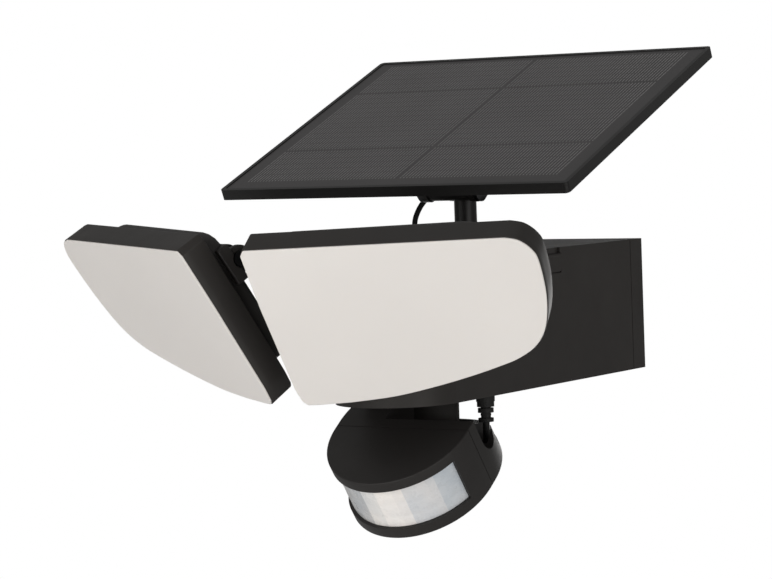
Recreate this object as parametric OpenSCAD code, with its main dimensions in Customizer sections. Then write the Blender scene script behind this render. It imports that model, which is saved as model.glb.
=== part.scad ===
// Solar flood light: a wall housing with two swivelling lamp heads on its nose,
// a motion sensor drum under it and a tilting solar panel on a short pole above it.
// Millimetres. X runs along the wall, Y points into the wall, Z is up.
// The origin is the middle of the wall plate's back face.

/* [Housing] */
// Width of the housing along the wall
housing_width = 70; // [64:1:90]
// Height of the housing
housing_height = 76; // [66:1:100]
// Distance from the wall to the tip of the rounded nose
housing_depth = 245; // [225:1:300]
// Wall thickness of the housing
housing_wall = 2.5; // [1.8:0.1:3]
// Depth of the plate fixed to the wall
plate_depth = 13.7; // [12:0.1:16]
// Diameter of the wall screw holes
wall_hole = 5; // [4:0.1:6]

/* [Panel] */
// Panel size along the wall
panel_width = 220; // [180:1:260]
// Panel size down its slope
panel_length = 181; // [150:1:210]
// Thickness of the panel frame
panel_thickness = 6; // [5:0.1:8]
// Tilt of the panel from level
panel_tilt = 22.7; // [10:0.1:32]
// Diameter of the pole
pole_diameter = 12.5; // [10:0.1:15]

/* [Lamp heads] */
// Swing of the right head about its upright pin
right_swing = 15.6; // [8:0.1:39]
// Swing of the left head about its upright pin
left_swing = 27.4; // [8:0.1:39]
// Downward tilt of both heads
head_tilt = 34; // [4:0.1:46]
// How far each lamp case stands out round its diffuser outline
case_lip = 0.6; // [0.4:0.1:1.2]

/* [Sensor] */
// Radius of the sensor drum
sensor_radius = 42; // [38:0.1:46]
// Forward tilt of the sensor drum
sensor_tilt = 36; // [21:0.1:61]
// Half of the angle the sensor window spans
window_angle = 68.6; // [50:0.1:80]

/* [Hidden] */
$fn = 64;
// clearance between pieces that move past each other
gap = 0.3;
// running clearance on a pin's radius
run = 0.06;
// half width and half height of the housing
half_w = housing_width / 2;
half_h = housing_height / 2;
// centre line of the rounded nose
nose_y = half_w - housing_depth;
// upright line the pole turns on
pole_y = -138;
// radius of the stub the pole base turns on
stub_r = 10;
// upright lines the lamp heads swing on
swing_x = 12.8;
swing_y = -310;
// height of the axis both heads tilt on, and how far it sits in front of the upright pin
tilt_z = 45.8;
tilt_reach = 19;
// the tilt axis seen from the diffuser's inner top corner: outward, back, up
tilt_at = [14.5, 27, -25];
// curved part of a diffuser's outline, from its inner top corner: outward, up
lamp_curve = [
    [133, 4.3], [139.5, 2.6], [144.8, -2.6], [147.2, -10], [147.3, -30], [143.9, -48],
    [137.6, -59.5], [128, -67.3], [117.3, -72.4], [100.9, -78.8], [81.6, -85.2], [59.2, -91.3],
    [35.8, -95]
];
// outline of the raised back of a lamp case, in the same frame
hump_points = [
    [7, -18], [7.6, -13], [9.6, -9], [13, -6.2], [18, -4.8], [108, -1.2], [115, -2.4], [119, -6],
    [121.5, -13], [121, -36], [116, -50], [106, -60], [88, -67.5], [60, -75.5], [30, -80.6],
    [17, -81.4], [13, -80.5], [11.8, -76], [9, -45]
];
// middle of the drum's top face, and the drum's height
drum_at = [0, -210.7, -52];
drum_h = 39.6;
// how far the drum's front arc is drawn in front of its seam
drum_bulge = 2;
// the sensor hinge pin in the drum's own frame: back and up
sensor_pin = [24.2, -27.5];
// middle of the panel's underside
panel_at = [0, -131.3, 106.5];
// panel hinge in the panel's own frame: along the slope and up
panel_pin = [-31.76, -23.57];
// upright gland under the housing
gland_x = 29.5;
gland_y = -172;
// hinge line of the port flap on the right side
flap_x = 34.3;
flap_z = 33.6;
// panel lead: from the box under the panel to the pole base
panel_lead_points = [
    [-25, -127, 102], [-25, -123.5, 92], [-22.5, -128, 82], [-20.5, -138, 73],
    [-24, -147, 63.5], [-25, -151.5, 55], [-22, -153, 48], [-20, -152, 41]
];
// sensor lead: from the gland into the drum
sensor_lead_points = [
    [29.5, -172, -31], [29.5, -172, -40], [29.5, -172, -50], [29.5, -172, -57],
    [29.5, -172.3, -63], [29.5, -173.2, -69.5]
];

// Which piece to draw

// ---- helpers ----

// a box from its low corner and high corner
module span(low, high) {
    translate(low) cube(high - low);
}

// a cylinder lying along X, centred on x = 0
module bar_x(r, length) {
    rotate([0, 90, 0]) cylinder(r = r, h = length, center = true);
}

// a cylinder running back along Y from its front end
module bar_y(r, length) {
    rotate([-90, 0, 0]) cylinder(r = r, h = length);
}

// outline with rounded corners
module round_rect(size, r) {
    offset(r = r) square([size.x - 2 * r, size.y - 2 * r], center = true);
}

// a straight-sided body with the half-round nose, grown inward by the inset
module nose_body(inset, low, high, rear) {
    translate([inset - half_w, nose_y, low])
        cube([housing_width - 2 * inset, rear - nose_y, high - low]);
    translate([0, nose_y, low]) cylinder(r = half_w - inset, h = high - low);
}

// places the right head's swing frame: X outward, Y back, Z up from the upright pin
module right_swing_frame() {
    translate([swing_x, swing_y, 0]) rotate([0, 0, right_swing]) children();
}

module left_swing_frame() {
    mirror([1, 0, 0]) translate([swing_x, swing_y, 0]) rotate([0, 0, left_swing]) children();
}

// places the tilting frame with its origin at the diffuser's inner top corner
module tilt_frame() {
    translate([0, -tilt_reach, tilt_z]) rotate([head_tilt, 0, 0]) translate(-tilt_at) children();
}

module right_head_frame() {
    right_swing_frame() tilt_frame() children();
}

module left_head_frame() {
    left_swing_frame() tilt_frame() children();
}

module panel_frame_of() {
    translate(panel_at) rotate([panel_tilt, 0, 0]) children();
}

module drum_frame_of() {
    translate(drum_at) rotate([sensor_tilt, 0, 0]) children();
}

// a slice of the lamp outline grown by some amount, from one depth to another
module lamp_slice(grow, front, back) {
    translate([0, back, 0]) rotate([90, 0, 0]) linear_extrude(back - front)
        offset(r = grow, $fn = 16) polygon(lamp_points);
}

// the same for the raised back
module hump_slice(grow, front, back) {
    translate([0, back, 0]) rotate([90, 0, 0]) linear_extrude(back - front)
        offset(r = grow, $fn = 16) polygon(hump_points);
}

// ---- swept leads ----

function spline(a, b, c, d, t) =
    0.5 * (2 * b + (c - a) * t + (2 * a - 5 * b + 4 * c - d) * t * t + (3 * b - a - 3 * c + d) * t * t * t);
function at(points, i) = points[max(0, min(len(points) - 1, i))];
function smooth(points, steps) = [
    for (i = [0 : len(points) - 2], s = [0 : steps - 1])
        spline(at(points, i - 1), at(points, i), at(points, i + 1), at(points, i + 2), s / steps),
    points[len(points) - 1]
];
lamp_points = concat(
    [[-0.8, -3], [1, 0]], smooth(lamp_curve, 3),
    [[18, -96.6], [12.5, -96.8], [10.2, -94.5], [7.9, -86.7], [4.7, -60], [1.7, -35]]
);
function unit(v) = v / norm(v);
function heading(points, i) =
    unit(points[min(len(points) - 1, i + 1)] - points[max(0, i - 1)]);
function ring(points, i, r) =
    let (ahead = heading(points, i), side = unit(cross(ahead, [1, 0, 0])), up = cross(side, ahead))
    [for (k = [0 : 7]) points[i] + r * (cos(45 * k) * side + sin(45 * k) * up)];
function ring_faces(n) = concat(
    [[for (k = [0 : 7]) k]],
    [for (i = [0 : n - 2], k = [0 : 7])
        [8 * i + k, 8 * (i + 1) + k, 8 * (i + 1) + (k + 1) % 8, 8 * i + (k + 1) % 8]],
    [[for (k = [7 : -1 : 0]) 8 * (n - 1) + k]]
);

module swept_lead(points, steps, r) {
    line = smooth(points, steps);
    polyhedron(points = [for (i = [0 : len(line) - 1]) each ring(line, i, r)],
        faces = ring_faces(len(line)), convexity = 6);
}

// ---- wall side ----

module wall_plate() {
    color("#2e2b2a") difference() {
        union() {
            difference() {
                span([-half_w, -plate_depth, -half_h], [half_w, 0, half_h]);
                span([-half_w + 2.6, -plate_depth - 1, -half_h + 2.6], [half_w - 2.6, -4, half_h - 2.6]);
            }
            // pads round the wall screws
            for (x = [-22, 22], z = [-25, 25])
                translate([x, -6.5, z]) bar_y(6, 3);
            // two tongues that reach into the housing above its floor
            for (x = [-21, 21])
                span([x - 6, -32, -half_h + 2.8], [x + 6, -3.5, -half_h + 10]);
        }
        for (x = [-22, 22], z = [-25, 25])
            translate([x, -8, z]) bar_y(wall_hole / 2, 9);
        for (x = [-21, 21])
            translate([x, -24, -half_h]) cylinder(r = 1.7, h = 12);
    }
}

module housing_seal() {
    color("#161616") difference() {
        span([-half_w + 1, -14.3, -half_h + 1], [half_w - 1, -plate_depth, half_h - 1]);
        span([-half_w + 2.6, -15, -half_h + 2.6], [half_w - 2.6, -13, half_h - 2.6]);
    }
}

module housing() {
    color("#383433") difference() {
        nose_body(0, -half_h, half_h, -14.3);
        difference() {
            nose_body(housing_wall, -half_h + housing_wall, half_h - housing_wall, 0);
            // board posts on the right wall
            for (y = [-98, -156], z = [-15, 12])
                translate([25.6, y, z]) rotate([0, 90, 0]) cylinder(r = 2.6, h = 8);
            // rib that stops the cells sliding forward
            span([-28, -112, -half_h], [20, -109.5, -20]);
        }
        // bearing hole of the pole base
        translate([0, pole_y, half_h - 4]) cylinder(r = stub_r + run, h = 6);
        // screw holes of the plate tongues
        for (x = [-21, 21]) {
            translate([x, -24, -half_h - 1]) cylinder(r = 1.7, h = 5);
            translate([x, -24, -half_h - 1]) cylinder(r = 3.4, h = 2.6);
        }
        // slot of the sensor arm, its screws and the lead gland
        span([-14.1, -176.3, -half_h - 1], [14.1, -173.7, -half_h + 3]);
        for (x = [-10, 10])
            translate([x, -181.5, -half_h - 1]) cylinder(r = 1.5, h = 5);
        translate([gland_x, gland_y, -half_h - 1]) cylinder(r = 2.7, h = 5);
        // screws of the head bracket
        for (x = [-16.5, 16.5], z = [2, 25])
            translate([x, -252, z]) bar_y(1.7, 20);
        // recess of the port flap with its hinge groove
        span([33.6, -127, 23.8], [36, -95, 33.6]);
        translate([flap_x, -127, flap_z]) bar_y(1.5, 32);
        translate([flap_x, -130, flap_z]) bar_y(0.62, 38);
        // notch over the flap's rear end
        span([33.4, -101.5, 34.6], [36, -96.2, half_h + 1]);
        // openings behind the flap
        translate([32, -106, 27.8]) rotate([0, 90, 0]) cylinder(r = 1.8, h = 4);
        span([32, -109.2, 26], [36, -102.8, 29.6]);
        translate([30, -118, 27.8]) rotate([0, 90, 0]) cylinder(r = 2.5 + run, h = 6);
        for (y = [-98, -156], z = [-15, 12])
            translate([25, y, z]) rotate([0, 90, 0]) cylinder(r = 1.1, h = 6);
    }
}

module lock_screws() {
    color("#8d9092") for (x = [-21, 21]) {
        translate([x, -24, -half_h + 0.1]) cylinder(r = 3.1, h = 1.5);
        translate([x, -24, -half_h + 1.5]) cylinder(r = 1.65, h = 9);
    }
}

module battery_holder() {
    color("#202224") difference() {
        span([-23, -108, -35.5], [20, -36, -14]);
        for (x = [-12, 9])
            translate([x, -106, -24]) bar_y(9.5, 68);
        span([-19, -106, -24], [16, -38, -10]);
    }
}

module battery_cells() {
    color("#3f6ea5") for (x = [-12, 9]) {
        translate([x, -105, -24]) bar_y(9.2, 65);
        translate([x, -105.8, -24]) bar_y(3, 1);
    }
}

module control_board() {
    color("#1f5a3a") difference() {
        union() {
            span([24, -162, -20], [25.6, -92, 32]);
            // radio module, connectors and the button's switch
            span([20.5, -150, -8], [24, -134, 8]);
            span([19, -126, -16], [24, -112, -8]);
            span([19, -146, 14], [24, -132, 20]);
            span([25.6, -121, 24.8], [27.9, -115, 30.8]);
        }
        for (y = [-98, -156], z = [-15, 12])
            translate([23, y, z]) rotate([0, 90, 0]) cylinder(r = 1.3, h = 4);
    }
}

module board_screws() {
    color("#8d9092") for (y = [-98, -156], z = [-15, 12]) {
        translate([22.8, y, z]) rotate([0, 90, 0]) cylinder(r = 2.4, h = 1.2);
        translate([23.9, y, z]) rotate([0, 90, 0]) cylinder(r = 1.05, h = 6);
    }
}

module usb_port() {
    color("#a9adb0") difference() {
        span([25.6, -110.4, 26.2], [32.4, -101.6, 29.4]);
        span([27, -109.6, 26.8], [33, -102.4, 28.8]);
    }
}

module flap_pin() {
    color("#8d9092") translate([flap_x, -129.6, flap_z]) bar_y(0.6, 36);
}

module port_flap() {
    color("#2a2726") difference() {
        union() {
            translate([flap_x + 0.1, -111, 29]) rotate([90, 0, 90]) linear_extrude(0.9)
                round_rect([31, 9.2], 2);
            translate([flap_x, -126.5, flap_z]) bar_y(1.2, 31);
        }
        translate([flap_x, -128, flap_z]) bar_y(0.6 + run, 34);
    }
}

module mode_button() {
    color("#5a5652") {
        translate([29, -118, 27.8]) rotate([0, 90, 0]) cylinder(r = 1.6, h = 3);
        translate([31, -118, 27.8]) rotate([0, 90, 0]) cylinder(r = 3.4, h = 1.2);
        translate([31.5, -118, 27.8]) rotate([0, 90, 0]) cylinder(r = 2.5, h = 2.5);
    }
}

// ---- bracket of the two heads ----

module bracket_ear(low, high) {
    for (x = [-swing_x, swing_x])
        translate([x, swing_y, low]) cylinder(r = 8.5, h = high - low);
    span([-swing_x, swing_y - 8.5, low], [swing_x, -298, high]);
    span([-swing_x - 8.5, swing_y, low], [swing_x + 8.5, -298, high]);
}

module head_bracket() {
    color("#302d2c") difference() {
        union() {
            // foot on the nose
            span([-20, -252, -10], [20, -236, 34]);
            // beam up to the ears
            translate([-13, 0, 0]) rotate([90, 0, 90]) linear_extrude(26)
                polygon([[-236, -10], [-252, -10], [-256, 6], [-290, 36], [-301, 36], [-301, 52],
                    [-290, 52], [-262, 39], [-252, 34], [-236, 34]]);
            bracket_ear(36, 39.5);
            bracket_ear(48.6, 52);
            span([-swing_x - 8.5, -301, 36], [swing_x + 8.5, -292, 52]);
        }
        translate([0, nose_y, -20]) cylinder(r = half_w, h = 80);
        for (x = [-swing_x, swing_x]) {
            translate([x, swing_y, 30]) cylinder(r = 3.02, h = 30);
            // room for the knuckle barrel
            translate([x, swing_y, 39.5]) cylinder(r = 9.3, h = 9.1);
        }
        for (x = [-16.5, 16.5], z = [2, 25])
            translate([x, -256, z]) bar_y(1.7, 30);
    }
}

module bracket_screws() {
    color("#8d9092") for (x = [-16.5, 16.5], z = [2, 25]) {
        translate([x, -254.4, z]) bar_y(2.9, 2.4);
        translate([x, -252.1, z]) bar_y(1.68, 16);
    }
}

module swing_pins() {
    color("#8d9092") for (x = [-swing_x, swing_x]) {
        translate([x, swing_y, 35]) cylinder(r = 3, h = 17.5);
        translate([x, swing_y, 52]) cylinder(r = 5, h = 1.8);
        translate([x, swing_y, 33.8]) cylinder(r = 4.6, h = 2.2);
    }
}

// ---- sensor arm ----

module sensor_arm() {
    color("#2c2928") difference() {
        union() {
            span([-13.85, -176.05, -60], [13.85, -173.95, -half_h + 4]);
            span([-17, -185, -half_h + 2.5], [17, -166, -half_h + 4.7]);
            translate([0, -175, -60]) bar_x(4.6, 27.7);
        }
        translate([0, -175, -60]) bar_x(2.5 + run, 30);
        for (x = [-10, 10])
            translate([x, -181.5, -half_h]) cylinder(r = 1.5, h = 8);
    }
}

module arm_screws() {
    color("#8d9092") for (x = [-10, 10]) {
        translate([x, -181.5, -half_h + 4.7]) cylinder(r = 2.8, h = 1.8);
        translate([x, -181.5, -half_h + 0.2]) cylinder(r = 1.45, h = 5);
    }
}

module sensor_gland() {
    color("#232120") translate([gland_x, gland_y, 0]) difference() {
        union() {
            translate([0, 0, -half_h - 3]) cylinder(r = 5.1, h = 3);
            translate([0, 0, -half_h - 0.5]) cylinder(r = 2.6, h = 4);
            translate([0, 0, -half_h - 5.8]) cylinder(r = 4.7, h = 3);
            translate([0, 0, -half_h - 9]) cylinder(r = 4.3, h = 2.4);
            translate([0, 0, -half_h - 10.6]) cylinder(r = 2.9, h = 1);
            translate([0, 0, -half_h - 13]) cylinder(r = 2.7, h = 10);
            translate([0, 0, -half_h - 14]) cylinder(r = 4.2, h = 2);
        }
        translate([0, 0, -half_h - 20]) cylinder(r = 1.98, h = 30);
    }
}

module sensor_lead() {
    color("#141414") swept_lead(sensor_lead_points, 3, 1.9);
}

// ---- pole and its turning base ----

module pole_base() {
    color("#2f2c2b") difference() {
        union() {
            translate([0, pole_y, half_h + gap]) cylinder(r = 30, h = 4.7);
            translate([0, pole_y, half_h + 4.9]) cylinder(r1 = 29, r2 = 27.5, h = 1);
            translate([0, pole_y, half_h - 8]) cylinder(r = stub_r, h = 10);
            translate([0, pole_y, half_h + 5]) cylinder(r = 10.5, h = 4);
        }
        translate([0, pole_y, half_h - 9]) cylinder(r = 5, h = 30);
        translate([0, pole_y, half_h + 3]) cylinder(r = pole_diameter / 2 + 0.02, h = 20);
        // lead channel from the edge hole to the hollow stub
        translate([-20, -152, half_h - 1]) cylinder(r = 2.8, h = 12);
        translate([0, pole_y, half_h + gap - 0.1]) rotate([0, 0, 215])
            translate([0, -2, 0]) cube([26, 4, 3]);
        translate([0, pole_y + 12, half_h + 7]) rotate([90, 0, 0]) cylinder(r = 1.5, h = 6);
    }
}

module base_nut() {
    color("#8d9092") difference() {
        translate([0, pole_y, half_h - 7.2]) cylinder(r = 15, h = 4.4);
        translate([0, pole_y, half_h - 9]) cylinder(r = stub_r + 0.02, h = 9);
    }
}

module pole() {
    color("#2b2928") difference() {
        translate([0, pole_y, half_h + 3]) cylinder(r = pole_diameter / 2, h = 33);
        translate([0, pole_y, half_h + 2]) cylinder(r = pole_diameter / 2 - 1.4, h = 36);
    }
}

module pole_head() {
    color("#2b2928") difference() {
        union() {
            translate([0, pole_y, 66.5]) cylinder(r = 8.5, h = 13);
            span([-9, -151.5, 67.5], [9, pole_y, 78]);
            translate([0, -151.5, 72.5]) bar_x(5.6, 26);
        }
        translate([0, pole_y, 60]) cylinder(r = pole_diameter / 2 + 0.02, h = 14.1);
        translate([0, -151.5, 72.5]) bar_x(3 + run, 30);
        translate([0, pole_y + 10, 70.5]) rotate([90, 0, 0]) cylinder(r = 1.5, h = 6);
    }
}

module grub_screws() {
    color("#8d9092") {
        translate([0, pole_y + 10.3, half_h + 7]) rotate([90, 0, 0]) cylinder(r = 1.48, h = 3.9);
        translate([0, pole_y + 8.4, 70.5]) rotate([90, 0, 0]) cylinder(r = 1.48, h = 2);
    }
}

// ---- solar panel ----

module panel_frame() {
    color("#1d1b1b") panel_frame_of() difference() {
        linear_extrude(panel_thickness) round_rect([panel_width, panel_length], 2.5);
        translate([0, 0, 3]) linear_extrude(panel_thickness)
            round_rect([panel_width - 4.8, panel_length - 4.8], 1.2);
        translate([0, 0, -1]) linear_extrude(panel_thickness)
            square([panel_width - 14, panel_length - 14], center = true);
    }
}

module solar_laminate() {
    color("#3c3a3b") panel_frame_of() translate([0, 0, 3])
        linear_extrude(panel_thickness - 3.4) round_rect([panel_width - 5, panel_length - 5], 1);
}

module panel_back() {
    color("#242222") panel_frame_of() linear_extrude(2.9)
        square([panel_width - 14.1, panel_length - 14.1], center = true);
}

module junction_box() {
    color("#1d1b1b") panel_frame_of() difference() {
        translate([-29, 5, -9]) linear_extrude(9) round_rect([32, 26], 3);
        translate([-29, 5, -7]) linear_extrude(8) square([27, 21], center = true);
        translate([-25, 2, -10]) cylinder(r = 2.6, h = 4);
    }
}

module lead_gland() {
    color("#232120") panel_frame_of() translate([-25, 2, 0]) difference() {
        union() {
            translate([0, 0, -12]) cylinder(r = 4, h = 3);
            translate([0, 0, -13.5]) cylinder(r = 2.6, h = 6);
        }
        translate([0, 0, -14]) cylinder(r = 2, h = 8);
    }
}

module panel_bracket() {
    color("#2b2928") panel_frame_of() difference() {
        union() {
            translate([0, -31.76, -3]) linear_extrude(3) round_rect([44, 44], 4);
            for (x = [-16.8, 13.3]) {
                translate([x, panel_pin.x, panel_pin.y]) rotate([0, 90, 0]) cylinder(r = 6.3, h = 3.5);
                translate([x, 0, 0]) rotate([90, 0, 90]) linear_extrude(3.5)
                    polygon([[-48, -2.9], [-16, -2.9], [-26.2, -26.5], [-37.3, -26.5]]);
            }
        }
        translate([0, panel_pin.x, panel_pin.y]) bar_x(3.02, 40);
        for (x = [-8, 8], y = [-47, -16.5])
            translate([x, y, -4]) cylinder(r = 1.7, h = 6);
    }
}

module bracket_bolts() {
    color("#8d9092") panel_frame_of() for (x = [-8, 8], y = [-47, -16.5])
        translate([x, y, -5]) cylinder(r = 3, h = 2);
}

module panel_bolt() {
    color("#3a3a3b") panel_frame_of() translate([0, panel_pin.x, panel_pin.y]) {
        bar_x(3, 36);
        for (side = [-1, 1]) {
            translate([side * 18, 0, 0]) bar_x(6.2, 2.4);
            translate([side * 19.2, 0, 0]) rotate([0, side * 90, 0]) cylinder(r1 = 6.2, r2 = 3.6, h = 2.4);
        }
    }
}

module panel_lead() {
    color("#141414") swept_lead(panel_lead_points, 4, 1.5);
}

// ---- lamp heads, drawn once in the head's own frame ----

module knuckle_shape() {
    difference() {
        union() {
            translate([0, 0, 39.8]) cylinder(r = 8.5, h = 8.5);
            translate([0, -tilt_reach, tilt_z]) bar_x(5.5, 10.2);
            span([-5.1, -tilt_reach, 41.3], [5.1, -2, 48.3]);
        }
        translate([0, 0, 30]) cylinder(r = 3 + run, h = 30);
        translate([0, -tilt_reach, tilt_z]) bar_x(2.5 + run, 20);
    }
}

module shell_shape() {
    difference() {
        union() {
            hull() {
                lamp_slice(case_lip, 0, 0.1);
                lamp_slice(case_lip - 0.5, 14.2, 14.3);
            }
            hull() {
                hump_slice(0, 14, 20.5);
                hump_slice(-2.4, 24.4, 24.5);
            }
            // hinge block and its two lugs
            span([4, 18.3, -35], [23.4, 25, -14]);
            for (x = [5.6, 19.9]) {
                translate([x, tilt_at.y, tilt_at.z]) rotate([0, 90, 0]) cylinder(r = 7, h = 3.5);
                span([x, 18.3, -32], [x + 3.5, tilt_at.y, -18]);
            }
        }
        lamp_slice(-0.6, -1, 3);
        difference() {
            union() {
                hull() {
                    lamp_slice(-1.9, 2.9, 3);
                    lamp_slice(-2.2, 12.1, 12.2);
                }
                hull() {
                    hump_slice(-2.2, 12, 19);
                    hump_slice(-4.4, 22.2, 22.3);
                }
            }
            span([4, 15, -37], [25, 26, -12]);
            // posts of the light board
            for (p = [[30, -20], [120, -16], [30, -78], [112, -58], [74, -46]])
                translate([p.x, 11.6, p.y]) bar_y(3.2, 12);
        }
        // bore and barrel pocket of the hinge
        translate([9.1, tilt_at.y, tilt_at.z]) rotate([0, 90, 0]) cylinder(r = 5.9, h = 10.8);
        translate([3, tilt_at.y, tilt_at.z]) rotate([0, 90, 0]) cylinder(r = 2.52, h = 23);
        // room for the heads of the tilt pin
        translate([1, tilt_at.y, tilt_at.z]) rotate([0, 90, 0]) cylinder(r = 4.6, h = 4.55);
        translate([23.45, tilt_at.y, tilt_at.z]) rotate([0, 90, 0]) cylinder(r = 4.6, h = 4);
    }
}

// the ring inside the front of the case that holds the diffuser, grooved for its gasket
module bezel_shape() {
    difference() {
        lamp_slice(-0.65, 0, 3);
        lamp_slice(-2.6, -1, 4);
        difference() {
            lamp_slice(-1.1, -1, 0.8);
            lamp_slice(-2.1, -2, 1);
        }
    }
}

// the opal sheet: a flange over the case's front edge and a plug inside the ring
module diffuser_shape() {
    lamp_slice(0.2, -0.8, 0);
    lamp_slice(-2.65, -0.1, 2.2);
}

module gasket_shape() {
    difference() {
        lamp_slice(-1.12, 0, 0.78);
        lamp_slice(-2.08, -1, 1);
    }
}

module board_shape() {
    lamp_slice(-7, 10, 11.6);
}

module leds_shape() {
    for (i = [0 : 7], j = [0 : 3])
        span([23 + 13 * i - 1.8, 9.2, -14 - 14 * j - 1.4], [23 + 13 * i + 1.8, 10, -14 - 14 * j + 1.4]);
}

module tilt_pin_shape() {
    translate([tilt_at.x, tilt_at.y, tilt_at.z]) {
        bar_x(2.5, 20);
        translate([-10.2, 0, 0]) bar_x(4.2, 2.4);
        translate([10.2, 0, 0]) bar_x(4.2, 2.4);
    }
}

module right_knuckle() {
    color("#2b2928") right_swing_frame() knuckle_shape();
}

module right_shell() {
    color("#332f2e") right_head_frame() shell_shape();
}

module right_bezel() {
    color("#2a2726") right_head_frame() bezel_shape();
}

module right_diffuser() {
    color("#dad5d1") right_head_frame() diffuser_shape();
}

module right_gasket() {
    color("#161616") right_head_frame() gasket_shape();
}

module right_board() {
    color("#c9cbc8") right_head_frame() board_shape();
}

module right_leds() {
    color("#f0e6a0") right_head_frame() leds_shape();
}

module right_tilt_pin() {
    color("#3a3a3b") right_head_frame() tilt_pin_shape();
}

module left_knuckle() {
    color("#2b2928") left_swing_frame() knuckle_shape();
}

module left_shell() {
    color("#332f2e") left_head_frame() shell_shape();
}

module left_bezel() {
    color("#2a2726") left_head_frame() bezel_shape();
}

module left_diffuser() {
    color("#dad5d1") left_head_frame() diffuser_shape();
}

module left_gasket() {
    color("#161616") left_head_frame() gasket_shape();
}

module left_board() {
    color("#c9cbc8") left_head_frame() board_shape();
}

module left_leds() {
    color("#f0e6a0") left_head_frame() leds_shape();
}

module left_tilt_pin() {
    color("#3a3a3b") left_head_frame() tilt_pin_shape();
}

// ---- sensor drum ----

// the front part of the plan between the two ends of the window
module window_wedge(angle) {
    translate([0, 0, -60]) linear_extrude(80)
        polygon([[0, 0], [-60 * sin(angle), -60 * cos(angle)], [-60, -60], [60, -60],
            [60 * sin(angle), -60 * cos(angle)]]);
}

// a band of the drum's wall between two radii and two heights, in front of the window's ends
module window_band(inner, outer, low, high) {
    translate([0, -drum_bulge, 0]) intersection() {
        difference() {
            translate([0, 0, low]) cylinder(r = outer, h = high - low, $fn = 96);
            translate([0, 0, low - 1]) cylinder(r = inner, h = high - low + 2, $fn = 96);
        }
        window_wedge(window_angle);
    }
}

module drum_front() {
    color("#141313") drum_frame_of() difference() {
        union() {
            translate([0, -drum_bulge, -drum_h]) cylinder(r = sensor_radius, h = drum_h, $fn = 96);
            span([-sensor_radius, -drum_bulge, -drum_h], [sensor_radius, 0, 0]);
        }
        span([-50, 0, -50], [50, 50, 5]);
        translate([0, -drum_bulge, -drum_h + 2.2]) cylinder(r = sensor_radius - 3.6, h = drum_h - 4.4);
        window_band(20, sensor_radius + 1, -32.8, -6.2);
    }
}

module drum_rear() {
    color("#161515") drum_frame_of() difference() {
        union() {
            translate([0, 3.8, -drum_h]) cylinder(r = sensor_radius, h = drum_h, $fn = 96);
            span([-sensor_radius, 0, -drum_h], [sensor_radius, 3.8, 0]);
        }
        span([-50, -50, -50], [50, 0, 5]);
        // half-round groove for the lead, from the arm's slot out through the right side
        translate([17.9, 16.6, -13.3]) bar_x(8.8, 64.2);
        span([-14.2, 7.8, -13.3], [50, 25.4, 5]);
        // the back is cut level with the housing's underside, lower behind the groove
        translate([0, 15.5, 0]) rotate([-sensor_tilt, 0, 0]) span([-50, 0, 0], [50, 70, 30]);
        translate([0, 25.4, -20]) rotate([-sensor_tilt, 0, 0]) span([-14.2, -16, 0], [50, 70, 40]);
        // hollow behind the seam
        difference() {
            translate([0, 0, -drum_h + 2.2]) cylinder(r = sensor_radius - 3.6, h = drum_h - 4.4);
            span([-50, 5.6, -50], [50, 50, 5]);
            for (x = [-30, 30])
                translate([x, -1, -29]) bar_y(3.4, 12);
        }
        // slot of the arm, open to the rear
        span([-14.2, 17, -34.8], [14.2, 34, 5]);
        span([-14.2, 30, -32], [14.2, 60, 5]);
        // well of the gland and the lead
        span([23.5, 17, -34.8], [35.5, 60, 5]);
        translate([gland_x, 20.6, -40]) cylinder(r = 3.6, h = 10);
        translate([-1.7, sensor_pin.x, sensor_pin.y]) bar_x(2.52, 39);
        for (x = [-30, 30])
            translate([x, -2, -29]) bar_y(1.4, 14);
    }
}

module sensor_window() {
    color("#c3c9d2") drum_frame_of() window_band(38.6, 40.2, -32.7, -6.3);
}

module sensor_board() {
    color("#1f5a3a") drum_frame_of() span([-24, -12, -32], [24, -10.4, -6]);
}

module motion_element() {
    color("#a9adb0") drum_frame_of() {
        translate([0, -16, -19]) bar_y(4.6, 4);
        translate([0, -16.4, -19]) bar_y(3.4, 0.5);
    }
}

module sensor_pivot() {
    color("#8d9092") drum_frame_of() translate([-1.7, sensor_pin.x, sensor_pin.y]) bar_x(2.5, 39);
}

module drum_screws() {
    color("#8d9092") drum_frame_of() for (x = [-30, 30])
        translate([x, -1.2, -29]) bar_y(1.38, 12);
}

// ---- what is drawn ----

wall_plate();
housing_seal();
housing();
lock_screws();
battery_holder();
battery_cells();
control_board();
board_screws();
usb_port();
flap_pin();
port_flap();
mode_button();
head_bracket();
bracket_screws();
swing_pins();
sensor_arm();
arm_screws();
sensor_gland();
sensor_lead();
pole_base();
base_nut();
pole();
pole_head();
grub_screws();
panel_frame();
solar_laminate();
panel_back();
junction_box();
lead_gland();
panel_bracket();
bracket_bolts();
panel_bolt();
panel_lead();
right_knuckle();
right_shell();
right_bezel();
right_diffuser();
right_gasket();
right_board();
right_leds();
right_tilt_pin();
left_knuckle();
left_shell();
left_bezel();
left_diffuser();
left_gasket();
left_board();
left_leds();
left_tilt_pin();
drum_front();
drum_rear();
sensor_window();
sensor_board();
motion_element();
sensor_pivot();
drum_screws();
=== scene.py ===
import bpy
import bmesh
import math
from mathutils import Matrix, Vector


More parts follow.
